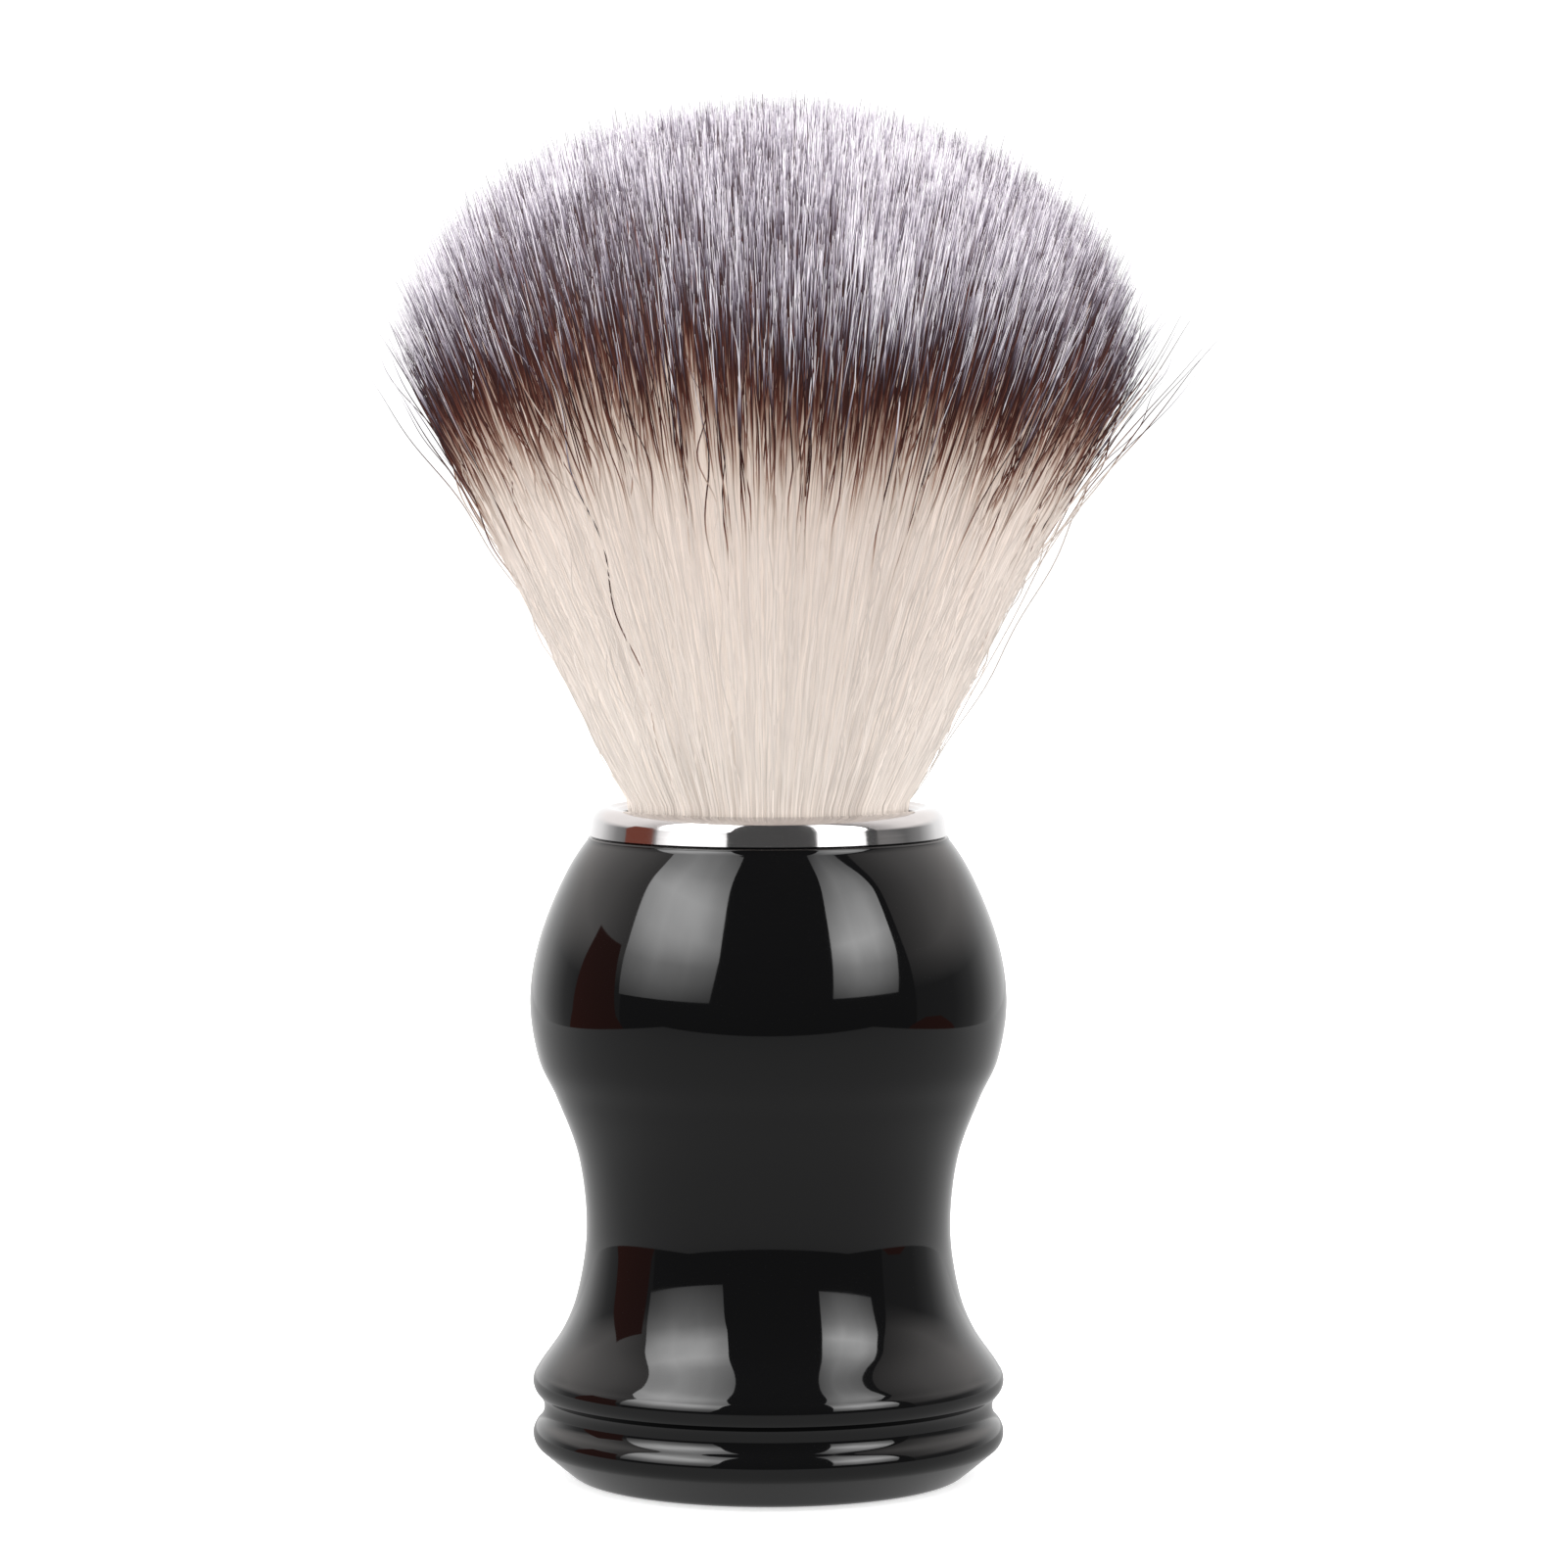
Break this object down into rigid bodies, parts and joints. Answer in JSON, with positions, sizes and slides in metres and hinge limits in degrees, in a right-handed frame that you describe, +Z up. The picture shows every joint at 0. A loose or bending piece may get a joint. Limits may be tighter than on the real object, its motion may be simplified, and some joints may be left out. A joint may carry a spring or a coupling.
{
  "type": "shaving brush",
  "caption": "Shaving brush: turned gloss black handle with bulb, waist and beads, a chrome collar and a fanned knot of cream, brown and white-tipped synthetic fibres.",
  "frame": {"origin": "centre of the flat foot that the brush stands on", "axes": "+Z up along the brush's axis, from the foot through the handle to the top of the bristles; the brush is round, so X and Y are free, with +Y taken as away from the viewer"},
  "size_m": [0.0592, 0.0592, 0.11],
  "materials": {
    "handle_black": "gloss",
    "weight_steel": "satin",
    "plug_black": "satin",
    "adhesive": "satin",
    "collar_chrome": "polished",
    "ferrule_white": "satin",
    "resin": "satin",
    "cord": "matte",
    "fibre_cream": "satin",
    "fibre_tip": "satin"
  },
  "bodies": {
    "handle": {"handle_shell": "handle_black", "base_weight": "weight_steel", "base_plug": "plug_black", "socket_adhesive": "adhesive", "collar_ring": "collar_chrome", "knot_ferrule": "ferrule_white", "knot_resin": "resin", "binding_cord": "cord", "bristle_roots": "fibre_cream"},
    "belly": {"bristle_belly": "fibre_cream"},
    "crown": {"bristle_crown": "fibre_tip"}
  },
  "joints": [
    {"name": "bend_front_back", "type": "hinge", "parent": "handle", "child": "belly", "pos_m": [0, 0, 0.06], "axis": [1, 0, 0], "range_deg": [-25, 25], "stiffness_Nm_per_rad": 0.2},
    {"name": "bend_left_right", "type": "hinge", "parent": "belly", "child": "crown", "pos_m": [0, 0, 0.06], "axis": [0, 1, 0], "range_deg": [-25, 25], "stiffness_Nm_per_rad": 0.2}
  ]
}
